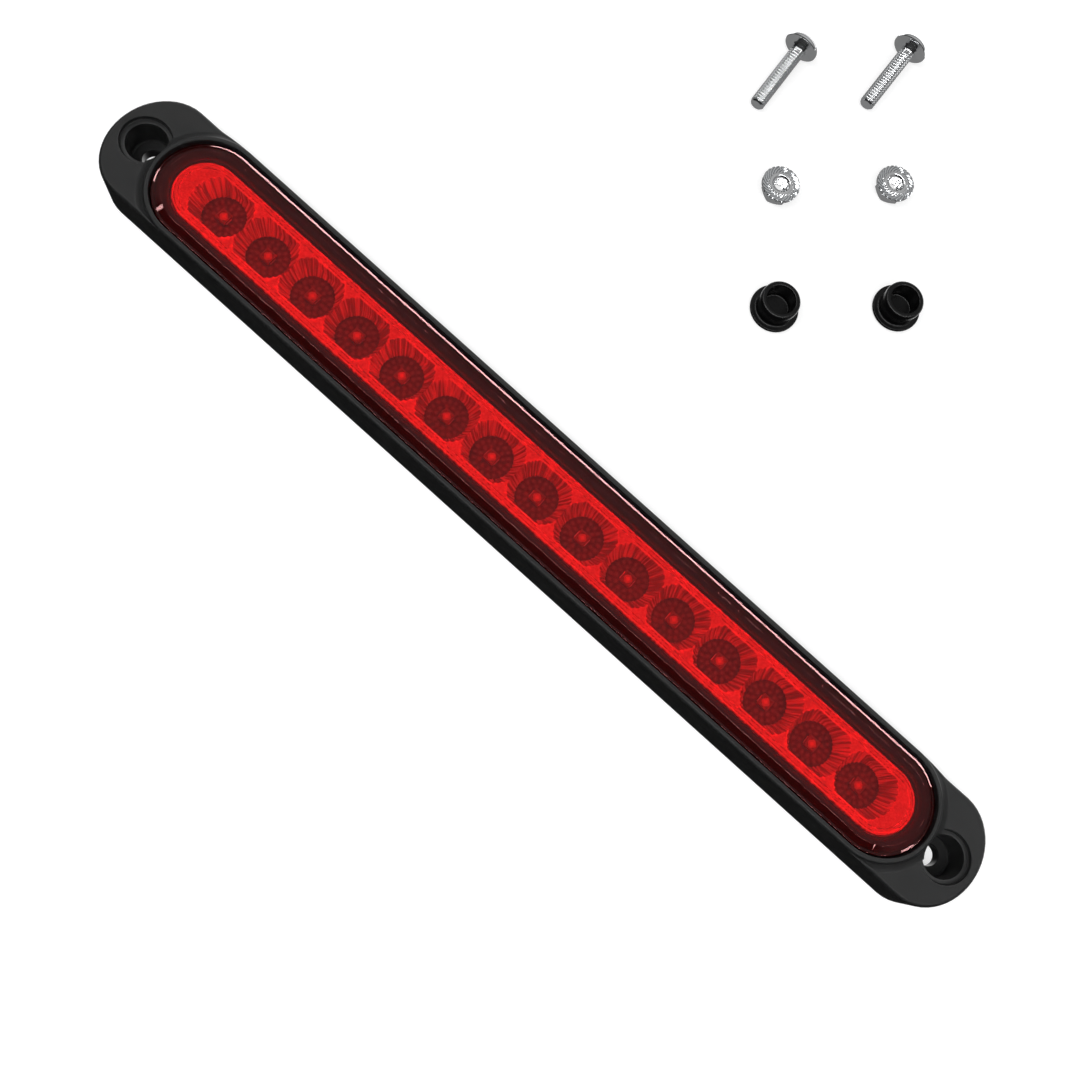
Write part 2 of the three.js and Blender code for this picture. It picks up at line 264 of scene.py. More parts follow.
class Material:
    """A node material, built one node at a time."""

    def __init__(self, name):
        self.data = bpy.data.materials.new(name)
        self.data.use_nodes = True
        self.tree = self.data.node_tree
        self.tree.nodes.clear()
        self.coordinates = self.node("ShaderNodeTexCoord").outputs["Object"]

    def node(self, kind, inputs=None, **settings):
        made = self.tree.nodes.new(kind)
        for key, value in settings.items():
            setattr(made, key, value)
        for key, value in (inputs or {}).items():
            if isinstance(value, bpy.types.NodeSocket):
                self.tree.links.new(value, made.inputs[key])
            else:
                made.inputs[key].default_value = value
        return made

    def noise(self, feature, detail=3.0, roughness=0.55, vector=None):
        """Noise whose lumps are about feature millimetres across."""
        return self.node("ShaderNodeTexNoise", {
            "Vector": vector or self.coordinates,
            "Scale": 1 / (feature * MM),
            "Detail": detail,
            "Roughness": roughness,
        }).outputs["Fac"]

    def between(self, value, low, high, source=(0.3, 0.7)):
        return self.node("ShaderNodeMapRange", {
            "Value": value,
            "From Min": source[0],
            "From Max": source[1],
            "To Min": low,
            "To Max": high,
        }).outputs["Result"]

    def blend(self, factor, first, second):
        """A mix of two colours, each an (r, g, b) or the output of another node."""
        mix = self.node("ShaderNodeMix", data_type="RGBA")
        self.tree.links.new(factor, mix.inputs[0])
        for socket, colour in zip(mix.inputs[MIX_COLOURS], (first, second)):
            if isinstance(colour, bpy.types.NodeSocket):
                self.tree.links.new(colour, socket)
            else:
                socket.default_value = (*colour, 1)
        return mix.outputs[MIX_COLOUR_RESULT]

    def math(self, operation, first, second=0.0):
        made = self.node("ShaderNodeMath", operation=operation)
        for socket, value in zip(made.inputs, (first, second)):
            if isinstance(value, bpy.types.NodeSocket):
                self.tree.links.new(value, socket)
            else:
                socket.default_value = value
        return made.outputs[0]

    def around_lamps(self):
        """Distance in millimetres from the nearest lamp's centre, and the angle about it."""
        split = self.node("ShaderNodeSeparateXYZ", {"Vector": self.coordinates})
        cell = self.math("DIVIDE", split.outputs["X"], LED_PITCH * MM)
        x = self.math("MULTIPLY", self.math("SUBTRACT", cell, self.math("ROUND", cell)), LED_PITCH)
        y = self.math("DIVIDE", split.outputs["Y"], MM)
        radius = self.math("SQRT", self.math("ADD", self.math("POWER", x, 2), self.math("POWER", y, 2)))
        return radius, self.math("ARCTAN2", y, x)

    def bump(self, height, depth, strength=1.0, under=None):
        """A bump of the given depth in millimetres."""
        inputs = {"Height": height, "Strength": strength, "Distance": depth * MM}
        if under is not None:
            inputs["Normal"] = under
        return self.node("ShaderNodeBump", inputs).outputs["Normal"]

    def principled(self, **inputs):
        named = {key.replace("_", " "): value for key, value in inputs.items()}
        return self.node("ShaderNodeBsdfPrincipled", named).outputs["BSDF"]

    def finish(self, shader):
        self.node("ShaderNodeOutputMaterial", {"Surface": shader})
        return self.data


def black_abs():
    """Satin black moulded ABS with a fine spark-eroded grain."""
    m = Material("black_abs")
    grain = m.noise(0.35, detail=4)
    drift = m.noise(14)
    colour = m.blend(drift, (0.0055, 0.0056, 0.0057), (0.0085, 0.0087, 0.0088))
    shader = m.principled(
        Base_Color=colour,
        Roughness=m.between(m.noise(5, detail=5), 0.36, 0.48),
        Specular_IOR_Level=0.2,
        Normal=m.bump(grain, 0.010, 0.6))
    return m.finish(shader)


def red_lens():
    """Clear red acrylic, polished, that lets light through to the cups."""
    m = Material("red_lens")
    tint = (0.92, 0.07, 0.07)
    glass = m.principled(
        Base_Color=(*tint, 1),
        Roughness=m.between(m.noise(6), 0.008, 0.02),
        IOR=1.49,
        Transmission_Weight=1.0,
        Specular_Tint=(1.0, 0.5, 0.5, 1))
    through = m.node("ShaderNodeBsdfTransparent", {
        "Color": (*(math.sqrt(part) for part in tint), 1),
    }).outputs["BSDF"]
    shadow_ray = m.node("ShaderNodeLightPath").outputs["Is Shadow Ray"]
    mix = m.node("ShaderNodeMixShader")
    m.tree.links.new(shadow_ray, mix.inputs[0])
    m.tree.links.new(glass, mix.inputs[1])
    m.tree.links.new(through, mix.inputs[2])
    return m.finish(mix.outputs[0])


def lens_foot_painted_shade():
    """The lens's foot and the inside of its rim: roughened, opaque, and painted dark as the shade they
    sit in over the black housing.
    """
    m = Material("lens_foot_painted_shade")
    shader = m.principled(
        Base_Color=m.blend(m.noise(1.5), (0.012, 0.0015, 0.002), (0.022, 0.003, 0.0035)),
        Roughness=m.between(m.noise(0.5), 0.55, 0.75),
        Specular_IOR_Level=0.1)
    return m.finish(shader)


def mirror_coat():
    """Metallised reflector: polished flutes with bright and dark streaks painted into their colour as
    highlight lines, and a flat field with a finely frosted face.
    """
    m = Material("mirror_coat")
    split = m.node("ShaderNodeSeparateXYZ", {"Vector": m.coordinates})
    top = REFLECTOR_HIGH.z * MM
    on_field = m.between(split.outputs["Z"], 0.0, 1.0, source=(top - 0.06 * MM, top - 0.02 * MM))
    angle = m.around_lamps()[1]
    turn = m.node("ShaderNodeCombineXYZ", {
        "X": m.math("COSINE", angle),
        "Y": m.math("SINE", angle),
        "Z": m.math("MULTIPLY", split.outputs["X"], 20.0),
    }).outputs["Vector"]
    # bright and dark streaks running out from each lamp: painted highlight lines on the cup walls
    painted_highlight_streaks = m.between(m.noise(90, detail=2, vector=turn), 0.0, 1.0, source=(0.42, 0.60))
    walls_with_painted_highlights = m.blend(painted_highlight_streaks, (0.40, 0.39, 0.39), (1.0, 1.0, 1.0))
    frosted = m.blend(m.noise(0.45, detail=3), (0.30, 0.29, 0.29), (0.74, 0.73, 0.73))
    polish = m.math("ADD", m.between(on_field, 0.12, 0.34, source=(0, 1)),
                    m.between(m.noise(0.9, detail=4), 0.0, 0.08))
    ripple = m.math("MULTIPLY", painted_highlight_streaks, m.between(on_field, 1.0, 0.0, source=(0, 1)))
    shader = m.principled(
        Base_Color=m.blend(on_field, walls_with_painted_highlights, frosted),
        Metallic=m.between(on_field, 0.5, 0.8, source=(0, 1)),
        Roughness=polish,
        Normal=m.bump(ripple, 0.07, 0.6, under=m.bump(m.noise(0.4, detail=2), 0.012, 0.5)))
    return m.finish(shader)


def board_mask():
    """Dark solder mask with two rings of lighter soft lobes round each lamp, and lighter noise."""
    m = Material("board_mask")
    radius, angle = m.around_lamps()

    def lobed_ring(count, centre, width):
        """A ring of soft lobes at one distance from the lamp."""
        wave = m.math("COSINE", m.math("MULTIPLY", angle, count))
        lobes = m.math("ADD", m.math("MULTIPLY", wave, 0.5), 0.5)
        away = m.math("DIVIDE", m.math("SUBTRACT", radius, centre), width)
        ring = m.math("EXPONENT", m.math("MULTIPLY", m.math("POWER", away, 2), -1.0))
        return m.math("MULTIPLY", lobes, ring)

    rings = m.math("ADD", lobed_ring(18, 4.1, 0.5), lobed_ring(11, 2.7, 0.5))
    pattern = m.math("ADD", m.math("MULTIPLY", rings, 0.7), m.math("MULTIPLY", m.noise(1.1), 1.1))
    lightness = m.between(pattern, 0.0, 1.0, source=(0.35, 1.15))
    colour = m.blend(lightness, (0.010, 0.011, 0.010), (0.10, 0.10, 0.10))
    shader = m.principled(
        Base_Color=colour,
        Roughness=m.between(m.noise(0.6), 0.35, 0.55),
        Normal=m.bump(pattern, 0.03, 0.5))
    return m.finish(shader)


def led_body():
    m = Material("led_body")
    shader = m.principled(
        Base_Color=m.blend(m.noise(0.8), (0.10, 0.095, 0.09), (0.15, 0.14, 0.13)),
        Roughness=m.between(m.noise(0.3), 0.35, 0.5))
    return m.finish(shader)


def led_window():
    """Clear resin over the bright bottom of the package."""
    m = Material("led_window")
    shader = m.principled(
        Base_Color=m.blend(m.noise(0.5), (0.28, 0.26, 0.23), (0.38, 0.36, 0.31)),
        Roughness=m.between(m.noise(0.4), 0.4, 0.55),
        Coat_Weight=0.8,
        Coat_Roughness=0.06)
    return m.finish(shader)


def led_chip():
    m = Material("led_chip")
    shader = m.principled(
        Base_Color=m.blend(m.noise(0.15), (0.42, 0.30, 0.24), (0.58, 0.42, 0.34)),
        Roughness=m.between(m.noise(0.1), 0.2, 0.35))
    return m.finish(shader)


def tin_lead():
    m = Material("tinned_leads")
    shader = m.principled(
        Base_Color=m.blend(m.noise(0.4), (0.55, 0.56, 0.57), (0.75, 0.76, 0.77)),
        Metallic=1.0,
        Roughness=m.between(m.noise(0.3), 0.25, 0.42),
        Normal=m.bump(m.noise(0.35), 0.02, 0.5))
    return m.finish(shader)


def zinc_steel():
    """Bright zinc plate, slightly uneven in colour and polish."""
    m = Material("zinc_steel")
    shader = m.principled(
        Base_Color=m.blend(m.noise(2.5, detail=2), (0.72, 0.73, 0.74), (0.84, 0.85, 0.86)),
        Metallic=1.0,
        Roughness=m.between(m.noise(1.5, detail=2), 0.06, 0.10))
    return m.finish(shader)


def plug_rubber():
    """Black satin rubber with a soft bloom."""
    m = Material("plug_rubber")
    shader = m.principled(
        Base_Color=m.blend(m.noise(4), (0.0008, 0.0008, 0.0010), (0.0018, 0.0018, 0.0021)),
        Roughness=m.between(m.noise(1.5, detail=4), 0.26, 0.34),
        Specular_IOR_Level=0.3)
    return m.finish(shader)


def seal_rubber():
    m = Material("seal_rubber")
    shader = m.principled(
        Base_Color=m.blend(m.noise(2), (0.008, 0.008, 0.0085), (0.018, 0.018, 0.019)),
        Roughness=m.between(m.noise(0.8), 0.65, 0.85),
        Normal=m.bump(m.noise(0.3, detail=4), 0.02, 0.7))
    return m.finish(shader)


def ceramic_chip():
    """Dark coated ceramic body."""
    m = Material("ceramic_chip")
    shader = m.principled(
        Base_Color=m.blend(m.noise(0.5), (0.010, 0.010, 0.012), (0.028, 0.028, 0.032)),
        Roughness=m.between(m.noise(0.3), 0.3, 0.5),
        Normal=m.bump(m.noise(0.15), 0.008, 0.5))
    return m.finish(shader)


ABS = black_abs()
LENS = red_lens()
MIRROR = mirror_coat()
BOARD = board_mask()
ZINC = zinc_steel()
PLUG = plug_rubber()
SEAL = seal_rubber()
CHIP = ceramic_chip()


# ---- housing ----------------------------------------------------------------------------------

def outline_distance(along, across):
    """From an end centre out to the housing's edge: straight sides, then an elliptical end."""
    along = abs(along)
    across = abs(across)
    ellipse_x = HALF_LENGTH - EAR_END - CORE_HALF
    if across > 1e-9 and HALF_WIDTH / across * along <= ellipse_x:
        return HALF_WIDTH / across
    a = (along / EAR_END) ** 2 + (across / HALF_WIDTH) ** 2
    b = -2 * ellipse_x * along / EAR_END ** 2
    c = (ellipse_x / EAR_END) ** 2 - 1
    return (-b + math.sqrt(b * b - 4 * a * c)) / (2 * a)


def deck_height(radius):
    """Height of the ear and of the slope that rises from it to the collar's rim."""
    share = min(1.0, max(0.0, (COLLAR_FOOT - radius) / (COLLAR_FOOT - HALF_WIDTH)))
    return EAR_HEIGHT + (RIM_TOP - RIM_RADIUS - EAR_HEIGHT) * share ** 1.4


def housing_profile(along, across):
    """Once round the wall's section, starting at the back face's outer edge."""
    edge = outline_distance(along, across)
    rounding = min(EAR_EDGE, 0.45 * (edge - HALF_WIDTH))
    deck_start = edge - rounding
    top = deck_height(deck_start)
    outside = [(edge - FOOT_EDGE, 0), (edge, FOOT_EDGE)]
    outside += arc((deck_start, top - rounding), rounding, 0, 90, 6)
    slope_steps = 12
    for k in range(slope_steps + 1):
        radius = min(deck_start, COLLAR_FOOT + (HALF_WIDTH - COLLAR_FOOT) * k / slope_steps)
        outside.append((radius, deck_height(radius)))
    rim = arc((HALF_WIDTH - RIM_RADIUS, RIM_TOP - RIM_RADIUS), RIM_RADIUS, 0, 90, 8)
    rim += arc((GROOVE_RADIUS + 0.2, RIM_TOP - 0.2), 0.2, 90, 180, 3)
    shelf_edge = ISLAND_RADIUS - ISLAND_SLOPE[0]
    island_top = EAR_HEIGHT
    inside = [
        (GROOVE_RADIUS, GROOVE_FLOOR), (ISLAND_RADIUS, GROOVE_FLOOR),
        (ISLAND_RADIUS, island_top - ISLAND_SLOPE[1]), (shelf_edge, island_top),
        (SLOT_RADIUS + 0.15, island_top), (SLOT_RADIUS, island_top - 0.15),
        (SLOT_RADIUS, SHELF_BOTTOM), (ROOM_RADIUS, SHELF_BOTTOM),
        (ROOM_RADIUS, WIDE_ROOM_TOP), (WIDE_ROOM_RADIUS, WIDE_ROOM_TOP),
        (WIDE_ROOM_RADIUS, COVER_SEAT[1]), (COVER_SEAT[0], COVER_SEAT[1]),
        (COVER_SEAT[0], 0),
    ]
    return outside + rim + inside


def counterbore(side):
    """The deep bore and screw hole of one ear, with a softened mouth."""
    ring_floor = EAR_HEIGHT - RING_DEPTH
    profile = [
        (0, -1), (HOLE_RADIUS, -1), (HOLE_RADIUS, BORE_SEAT - 0.2), (HOLE_RADIUS + 0.2, BORE_SEAT),
        (BORE_RADIUS - 0.3, BORE_SEAT), (BORE_RADIUS, BORE_SEAT + 0.3), (BORE_RADIUS, ring_floor - 0.25),
        (BORE_RADIUS + 0.07, ring_floor - 0.07), (BORE_RADIUS + 0.25, ring_floor + 0.01),
        (BORE_RADIUS + 0.25, 30), (0, 30),
    ]
    return raw_mesh("bore", *moved(turned(profile, 96), x=side * HOLE_X))


def ring_recess(side):
    """The shallow ring outside the collar that the plug's flange lies in."""
    ring_floor = EAR_HEIGHT - RING_DEPTH
    profile = [
        (0, ring_floor), (RING_RADIUS - 0.2, ring_floor), (RING_RADIUS, ring_floor + 0.2),
        (RING_RADIUS, EAR_HEIGHT - 0.25), (RING_RADIUS + 0.08, EAR_HEIGHT - 0.08),
        (RING_RADIUS + 0.25, EAR_HEIGHT + 0.01), (RING_RADIUS + 0.25, 30), (0, 30),
    ]
    ring = raw_mesh("ring", *moved(turned(profile, 96), x=side * HOLE_X))
    foot = [(0, 0), (COLLAR_FOOT - 0.1, 0), (COLLAR_FOOT - 0.1, 31), (0, 31)]
    collar = raw_mesh("collar_foot", *moved(turned(foot, 128), x=side * CORE_HALF))
    return cut(ring, [collar])


def housing():
    """The moulded shell with both ears' bores and plug recesses cut in."""
    body = raw_mesh("housing_body", *swept(housing_profile, wrap=True))
    cutters = []
    for side in (-1, 1):
        cutters += [ring_recess(side), counterbore(side)]
    return cut(body, cutters)


# ---- lens, reflector, lamps -------------------------------------------------------------------

def lens_profile(along, across):
    """From the middle of the top, over the edge and back under it; the same in every direction."""
    top = LENS_HIGH.z
    ledge_in, ledge_out, ledge_tilt = LENS_LEDGE
    slope = math.tan(math.radians(LENS_SLOPE))
    ledge_slope = math.tan(math.radians(ledge_tilt))
    ledge_top = top - (ledge_in - LENS_FLAT) * slope
    ledge_foot = ledge_top - (ledge_out - ledge_in) * ledge_slope
    crease = 0.5                             # radius of the flat top's edge
    reach = crease * math.tan(math.radians(LENS_SLOPE / 2))
    outside = [(0, top)]
    outside += arc((LENS_FLAT - reach, top - crease), crease, 90, 90 - LENS_SLOPE, 4)
    outside += [(ledge_in - 0.03, ledge_top + 0.03 * slope), (ledge_in, ledge_top),
                (ledge_out - 0.03, ledge_foot + 0.03 * ledge_slope)]
    edge_width = LENS_RADIUS - ledge_out
    edge_drop = ledge_foot - LENS_SHOULDER
    outside += [(ledge_out + edge_width * r, LENS_SHOULDER + edge_drop * z)
                for r, z in arc((0, 0), 1, 90, 0, 12)]
    under = top - LENS_THICKNESS
    wall = ISLAND_RADIUS + GAP
    inside = [
        (LENS_RADIUS, LENS_LOW.z + 0.1), (LENS_RADIUS - 0.1, LENS_LOW.z), (wall, LENS_LOW.z),
        (wall, under - 1.0), (wall - 1.9, under), (0, under),
    ]
    return outside + inside


def lens():
    """The lens, with its foot and the inside of its rim roughened and painted dark as shade."""
    mesh = raw_mesh("lens_shell", *swept(lens_profile))
    under = (LENS_HIGH.z - LENS_THICKNESS) * MM
    for polygon in mesh.polygons:
        height = polygon.center.z
        clear = height > (LENS_SHOULDER - 0.01) * MM or abs(height - under) < 1e-6
        # faces below the shoulder, except the underside, take the second material: painted shade
        polygon.material_index = 0 if clear else 1
    return mesh


def field_distance(angle, last):
    """From a lamp's centre to the edge of its cell, on the flat field between and round the cups."""
    along = math.cos(angle)
    across = abs(math.sin(angle))
    side = FIELD_FLAT / max(across, 1e-9)
    if last and along > 0:
        centre = CORE_HALF - (LED_COUNT - 1) / 2 * LED_PITCH
        if side * along <= centre:
            return side
        return centre * along + math.sqrt(FIELD_FLAT ** 2 - (centre * across) ** 2)
    return min(side, LED_PITCH / 2 / max(abs(along), 1e-9))


def cup_height(radius):
    """Height of the cup's parabolic wall."""
    return REFLECTOR_LOW.z + CUP_RISE * (radius ** 2 - CUP_FLOOR ** 2)


def flute_share(angle):
    """0 on the rounded ridge between two flutes, 1 in the middle of a flute."""
    phase = (angle * FLUTES / (2 * math.pi)) % 1
    points = [*FLUTE_SHAPE, (1, 0)]
    for (low, first), (high, second) in zip(points, points[1:]):
        if phase <= high:
            return first + (second - first) * (phase - low) / (high - low)
    return 0.0


def cup_ray(angle, last):
    """(radius, height) points from the cup's foot up its fluted wall and over the flat field."""
    top = REFLECTOR_HIGH.z
    flute = 1 + FLUTE_DEPTH * flute_share(angle)
    edge = field_distance(angle, last)
    rim = math.sqrt(CUP_FLOOR ** 2 + (top - LIP - REFLECTOR_LOW.z) / CUP_RISE) * flute
    straight = CUP_FLAT_HALF / max(abs(math.sin(angle)), 1e-9)
    end = min(rim, straight, edge)
    foot = CUP_FLOOR * flute
    steps = 9
    points = []
    for k in range(steps + 1):
        radius = foot + (end - foot) * k / steps
        points.append((radius, cup_height(radius / flute)))
    if end < edge - 1e-6:
        lip = min(end + LIP, edge)
        points += [(end, top - LIP), (end + (lip - end) * 0.3, top - LIP * 0.3), (lip, top), (edge, top)]
    else:
        points += [points[-1]] * 4
    return points


def shell_ray(angle, last):
    """The same ray along the reflector's underside."""
    under = FLANGE_TOP - CUP_SHELL
    edge = field_distance(angle, last)
    steps = 4
    points = []
    for k in range(steps + 1):
        height = REFLECTOR_LOW.z + (under - REFLECTOR_LOW.z) * k / steps
        radius = math.sqrt(CUP_FLOOR ** 2 + (height - REFLECTOR_LOW.z) / CUP_RISE) + CUP_SHELL
        points.append((min(radius, edge), height))
    points.append((edge, under))
    return points


def skirt(point):
    """From the field's edge over its rounding, down to the flange and back under."""
    nearest = max(-CORE_HALF, min(CORE_HALF, point[0]))
    out = Vector((point[0] - nearest, point[1])).normalized()
    top = REFLECTOR_HIGH.z
    profile = [
        (FIELD_FLAT, top), *arc((FIELD_FLAT + 0.17, top), 0.15, 180, 360, 6),
        *arc((FIELD_FLAT + 1.0, top), 0.13, 180, 360, 6),
        *arc((FIELD_RADIUS - 0.4, top - 0.4), 0.4, 90, 0, 5), (FIELD_RADIUS, FLANGE_TOP),
        (REFLECTOR_HIGH.y, FLANGE_TOP), (REFLECTOR_HIGH.y, FLANGE_TOP - CUP_SHELL),
        (FIELD_FLAT, FLANGE_TOP - CUP_SHELL),
    ]
    return [(nearest + out.x * r, out.y * r, z) for r, z in profile]


def on_rim(point):
    """Whether a point lies on the outer edge of the flat field."""
    nearest = max(-CORE_HALF, min(CORE_HALF, point[0]))
    return abs(math.hypot(point[0] - nearest, point[1]) - FIELD_FLAT) < 1e-4


def cup_cell(index):
    """One lamp's share of the reflector: cup, field, flange and underside."""
    centre_x = (index - (LED_COUNT - 1) / 2) * LED_PITCH
    last = index in (0, LED_COUNT - 1)
    facing = -1 if index == 0 else 1
    corner = math.atan2(FIELD_FLAT, LED_PITCH / 2)
    angles = {2 * math.pi * (k + phase) / FLUTES for k in range(FLUTES) for phase, _ in FLUTE_SHAPE}
    angles |= {corner, math.pi - corner, math.pi + corner, 2 * math.pi - corner}
    angles = sorted(angles)
    upper, lower = [], []
    for angle in angles:
        x, y = facing * math.cos(angle), math.sin(angle)
        upper.append([(centre_x + r * x, r * y, z) for r, z in cup_ray(angle, last)])
        lower.append([(centre_x + r * x, r * y, z) for r, z in shell_ray(angle, last)])
    columns = [top_ray[::-1] + under_ray for top_ray, under_ray in zip(upper, lower)]
    parts = [grid(columns, wrap_rows=True, wrap_columns=False)]
    for first, second in zip(columns, columns[1:] + columns[:1]):
        if on_rim(first[0]) and on_rim(second[0]):
            parts.append(grid([skirt(first[0]), skirt(second[0])], wrap_columns=False))
    return merged(parts)


def reflector():
    """The row of cups, with a boss for each screw that holds the board."""
    cells = [cup_cell(index) for index in range(LED_COUNT)]
    bosses = []
    plate = FLANGE_TOP - CUP_SHELL
    for node in ("board_screw_1", "board_screw_2"):
        profile = [(1.15, REFLECTOR_LOW.z), (2.0, REFLECTOR_LOW.z), (2.3, plate + 0.2),
                   (1.8, plate + 0.9), (0, plate + 0.9), (0, plate + 0.7), (1.15, plate + 0.7)]
        bosses.append(moved(turned(profile, 32, wrap=True), x=centre_mm(node).x))
    return raw_mesh("reflector_fluted", *merged(cells + bosses))


def rounded_square(half, corner, steps=5):
    points = []
    for quarter in range(4):
        start = math.pi / 2 * quarter
        centre = Vector((math.cos(start + math.pi / 4), math.sin(start + math.pi / 4))) * math.sqrt(2)
        for k in range(steps + 1):
            angle = start + math.pi / 2 * k / steps
            points.append((centre.x * (half - corner) + corner * math.cos(angle),
                           centre.y * (half - corner) + corner * math.sin(angle)))
    return points


def stacked(levels):
    """Rounded squares of (half side, corner radius, height), joined in turn and closed at both ends."""
    rows = [[(x, y, z) for x, y in rounded_square(half, corner)] for half, corner, z in levels]
    points, faces = grid(rows)
    count = len(rows[0])
    faces.append(tuple(range(count)))
    faces.append(tuple(range(len(points) - count, len(points))))
    return points, faces


def led_mesh():
    """One surface-mount lamp: moulded frame, resin window, chip and two tinned leads."""
    low, high = box_mm("led_01")
    half = (high.x - low.x) / 2
    height = high.z - low.z
    window = 1.12
    frame_part = stacked([
        (half - 0.05, 0.1, 0), (half, 0.15, 0.06),
        (half, 0.15, height - 0.1), (half - 0.1, 0.12, height),
        (window, 0.45, height), (window - 0.16, 0.35, height - 0.26),
    ])
    resin = stacked([(0.92, 0.2, height - 0.27), (0.90, 0.2, height - 0.13),
                     (0.7, 0.2, height - 0.08), (0.25, 0.1, height - 0.07)])
    chip = stacked([(0.42, 0.03, height - 0.1), (0.42, 0.03, height - 0.035),
                    (0.36, 0.03, height - 0.02)])
    quarter_turn = math.sqrt(0.5)
    for part in (resin, chip):
        part[0][:] = [((x - y) * quarter_turn, (x + y) * quarter_turn, z) for x, y, z in part[0]]
    leads = []
    for side in (-1, 1):
        lead = stacked([(0.42, 0.08, -0.2), (0.42, 0.08, 0.1), (0.36, 0.06, 0.16)])
        points = [(px * 0.5 + side * (half - 0.08), py * 2.2, pz) for px, py, pz in lead[0]]
        leads.append((points, lead[1]))
    groups = [frame_part, resin, chip, merged(leads)]
    points, faces = merged(groups)
    mesh = bpy.data.meshes.new("led_package")
    mesh.from_pydata([Vector(point) * MM for point in points], [], faces)
    owners = []
    for slot_index, (_, group_faces) in enumerate(groups):
        owners += [slot_index] * len(group_faces)
    mesh.polygons.foreach_set("material_index", owners)
    work = bmesh.new()
    work.from_mesh(mesh)
    bmesh.ops.recalc_face_normals(work, faces=work.faces)
    work.to_mesh(mesh)
    work.free()
    return mesh


# ---- fixing kit -------------------------------------------------------------------------------

SCREW_LENGTH = 20
SCREW_RADIUS = 2.0
SCREW_HEAD = 4.7
SCREW_HEAD_HEIGHT = 2.5
THREAD_PITCH = 0.8
THREAD_DEPTH = 0.45
THREAD_START = 1.3                           # below the head
TIP_LENGTH = 0.45
TIP_SLOPE = 0.9
NUT_TEETH = 24


def thread_radius(angle, height, outer, depth):
    """A 60 degree thread with small flats at crest and root."""
    phase = (height / THREAD_PITCH - angle / (2 * math.pi)) % 1
    share = abs(phase - 0.5) * 2
    return outer - depth * min(1.0, max(0.0, (share - 0.35) / 0.5))


def threaded(outer, depth, start, end, sides, fade):
    """A threaded cylinder whose rows follow the helix; the thread fades out at both ends."""
    steps = 10                               # rows in one turn of the thread
    run_out = 0.25                           # length over which the thread fades at the tip
    turns = int((end - start) / THREAD_PITCH) + 2
    rows = []
    for row in range(-steps, turns * steps + 1):
        points = []
        for side in range(sides + 1):
            angle = 2 * math.pi * side / sides
            height = start + (row / steps + side / sides) * THREAD_PITCH
            height = min(end, max(start, height))
            cut_in = outer - thread_radius(angle, height - start, outer, depth)
            shallow = max(0.0, min(1.0, (height - start) / fade, (end - height) / run_out))
            point = max(0.0, TIP_LENGTH - (end - height)) * TIP_SLOPE
            radius = outer - max(cut_in * shallow, point)
            points.append((radius * math.cos(angle), radius * math.sin(angle), height))
        rows.append(points)
    return grid(rows, wrap_columns=False)


def screw_mesh(turn):
    """A truss-head machine screw with a cross recess, lying on its head's edge and its tip."""
    sides = 40
    brim = 0.45                              # height of the head's straight edge
    dome = arc((0, 0), 1, 90, 0, 12)
    head = [(SCREW_HEAD * r * 0.999, -brim - (SCREW_HEAD_HEIGHT - brim) * z) for r, z in dome]
    edge = [(SCREW_HEAD, -0.3), (SCREW_HEAD, -0.12), (SCREW_HEAD - 0.12, 0)]
    under = [(SCREW_RADIUS + 1.2, 0.02), (SCREW_RADIUS + 0.3, 0.06), (SCREW_RADIUS, 0.4),
             (SCREW_RADIUS, THREAD_START)]
    rows = [[(r * math.cos(2 * math.pi * k / sides), r * math.sin(2 * math.pi * k / sides), z)
             for k in range(sides)] for r, z in head + edge + under]
    tip_radius = SCREW_RADIUS - TIP_LENGTH * TIP_SLOPE
    tip = turned([(tip_radius, SCREW_LENGTH), (0.9, SCREW_LENGTH), (0, SCREW_LENGTH)], sides)
    thread = threaded(SCREW_RADIUS, THREAD_DEPTH, THREAD_START, SCREW_LENGTH, sides, 1.2)
    body = raw_mesh("screw_body", *merged([grid(rows), thread, tip]))
    body = cut(body, [cross_recess()])
    lean = math.asin((SCREW_HEAD - SCREW_RADIUS) / SCREW_LENGTH)
    body.transform(Matrix.Rotation(math.pi / 2 + lean, 4, "Y"))
    body.transform(Matrix.Rotation(math.radians(turn), 4, "Z"))
    return body


def cross_recess():
    """A tapered cross, as a driver leaves it."""
    arm, half, depth = 2.4, 0.5, 1.5
    top = -SCREW_HEAD_HEIGHT - 0.5
    floor = -SCREW_HEAD_HEIGHT + depth

    def cross(reach, width, height):
        corner = [(reach, -width), (reach, width), (width, width)]
        points = []
        for quarter in range(4):
            turn = Matrix.Rotation(math.pi / 2 * quarter, 2)
            points += [(*(turn @ Vector(p)), height) for p in corner]
        return points

    points, faces = grid([cross(arm * 1.1, half * 1.1, top), cross(arm * 0.45, half * 0.6, floor)])
    faces += [tuple(range(12)), tuple(range(12, 24))]
    return raw_mesh("cross", points, faces)


